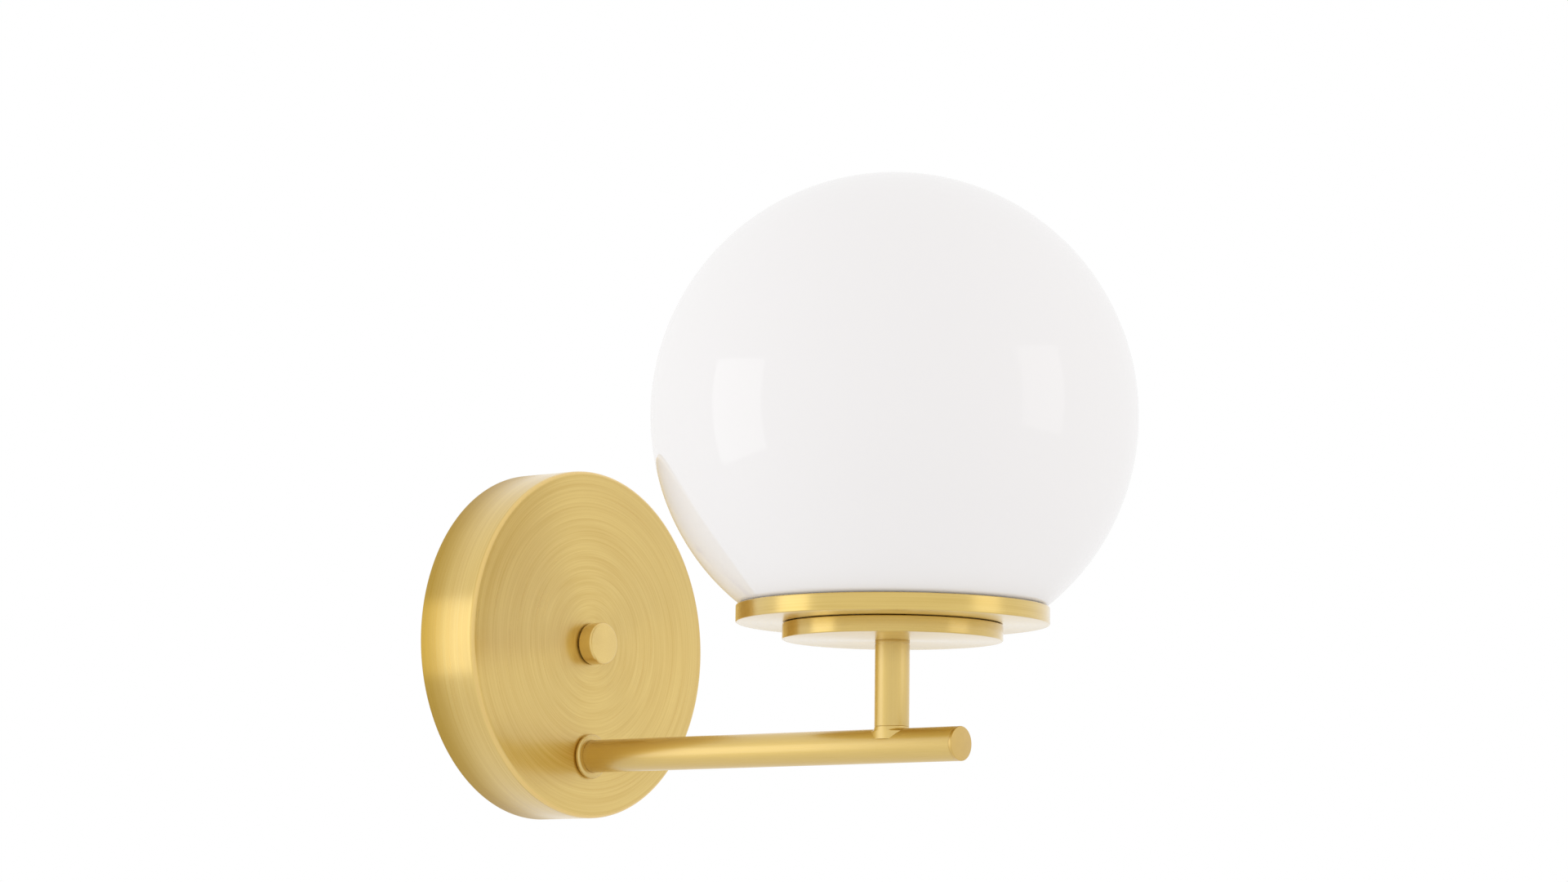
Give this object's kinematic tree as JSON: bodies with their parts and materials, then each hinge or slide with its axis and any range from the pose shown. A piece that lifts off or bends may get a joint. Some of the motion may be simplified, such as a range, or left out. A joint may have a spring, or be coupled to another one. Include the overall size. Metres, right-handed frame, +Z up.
{
  "type": "wall sconce",
  "caption": "Wall light with a round canopy, a straight arm with an upright stem, a two-step gallery and an opal glass globe.",
  "frame": {"origin": "middle of the canopy on the wall plane", "axes": "+Y into the wall, +Z up, the arm stands out along -Y"},
  "size_m": [0.2, 0.293, 0.2615],
  "materials": {
    "brushed_brass": "satin brushed, clear lacquered",
    "opal_glass": "glossy opal",
    "zinc_steel": "zinc plated, dull",
    "spring_steel": "rolled, bright",
    "plain_brass": "machined, uncoated",
    "green_screw": "green passivated",
    "nylon_white": "moulded, matt",
    "nylon_clear": "natural nylon",
    "silicone": "soft, matt",
    "black_phenolic": "moulded, semi-gloss",
    "porcelain": "glazed",
    "nickel": "nickel plated",
    "contact_brass": "bright",
    "tip_solder": "tinned",
    "cap_glass": "black glass",
    "bulb_plastic": "moulded, matt",
    "bulb_opal": "opal diffuser",
    "wire_brown": "wire insulation",
    "wire_blue": "wire insulation",
    "wire_earth": "wire insulation, green and yellow"
  },
  "bodies": {
    "lamp": {"wall_bracket": "zinc_steel", "bracket_stud": "zinc_steel", "canopy_stop_nut": "zinc_steel", "canopy": "brushed_brass", "earth_screw": "green_screw", "earth_cup_washer": "plain_brass", "terminal_block": "nylon_white", "terminal_barrels": "contact_brass", "terminal_screws": "zinc_steel", "block_fixing_screws": "zinc_steel", "arm_ferrule": "brushed_brass", "arm_tube": "brushed_brass", "arm_end_cap": "brushed_brass", "arm_insert": "plain_brass", "arm_nipple": "zinc_steel", "earth_tag": "nickel", "arm_lock_washer": "spring_steel", "arm_lock_nut": "zinc_steel", "stem_saddle": "brushed_brass", "stem_tube": "brushed_brass", "stem_insert": "plain_brass", "stem_nipple": "zinc_steel", "base_cup": "brushed_brass", "gallery_dish": "brushed_brass", "gallery_lock_washer": "spring_steel", "gallery_lock_nut": "zinc_steel", "globe_springs": "spring_steel", "spring_rivets": "plain_brass", "globe_seat_ring": "silicone", "lampholder_cap": "black_phenolic", "lampholder_porcelain": "porcelain", "lampholder_shell": "black_phenolic", "screw_contact": "nickel", "centre_contact": "contact_brass", "live_wire": "wire_brown", "neutral_wire": "wire_blue", "earth_wire": "wire_earth"},
    "knob_washer": {"knob_washer": "nylon_clear"},
    "knob": {"canopy_knob": "brushed_brass"},
    "globe": {"globe_glass": "opal_glass"},
    "bulb_tip": {"bulb_contact": "tip_solder"},
    "bulb": {"bulb_cap": "nickel", "bulb_insulator": "cap_glass", "bulb_collar": "bulb_plastic", "bulb_diffuser": "bulb_opal"}
  },
  "joints": [
    {"name": "knob_advance", "type": "slide", "parent": "lamp", "child": "knob_washer", "axis": [0, -1, 0], "range_m": [0, 0.005]},
    {"name": "knob_turn", "type": "hinge", "parent": "knob_washer", "child": "knob", "pos_m": [0, -0.0307, 0], "axis": [0, -1, 0], "range_deg": [0, 1800]},
    {"name": "globe_lift", "type": "slide", "parent": "lamp", "child": "globe", "axis": [0, 0, 1], "range_m": [0, 0.15]},
    {"name": "bulb_rise", "type": "slide", "parent": "lamp", "child": "bulb_tip", "axis": [0, 0, 1], "range_m": [0, 0.0109]},
    {"name": "bulb_turn", "type": "hinge", "parent": "bulb_tip", "child": "bulb", "pos_m": [0, -0.193, 0.0403], "axis": [0, 0, 1], "range_deg": [0, 1080]}
  ],
  "couplings": [
    {"joint": "knob_advance", "follows": "knob_turn", "m_per_rad": 0.000159},
    {"joint": "bulb_rise", "follows": "bulb_turn", "m_per_rad": 0.0005775}
  ]
}
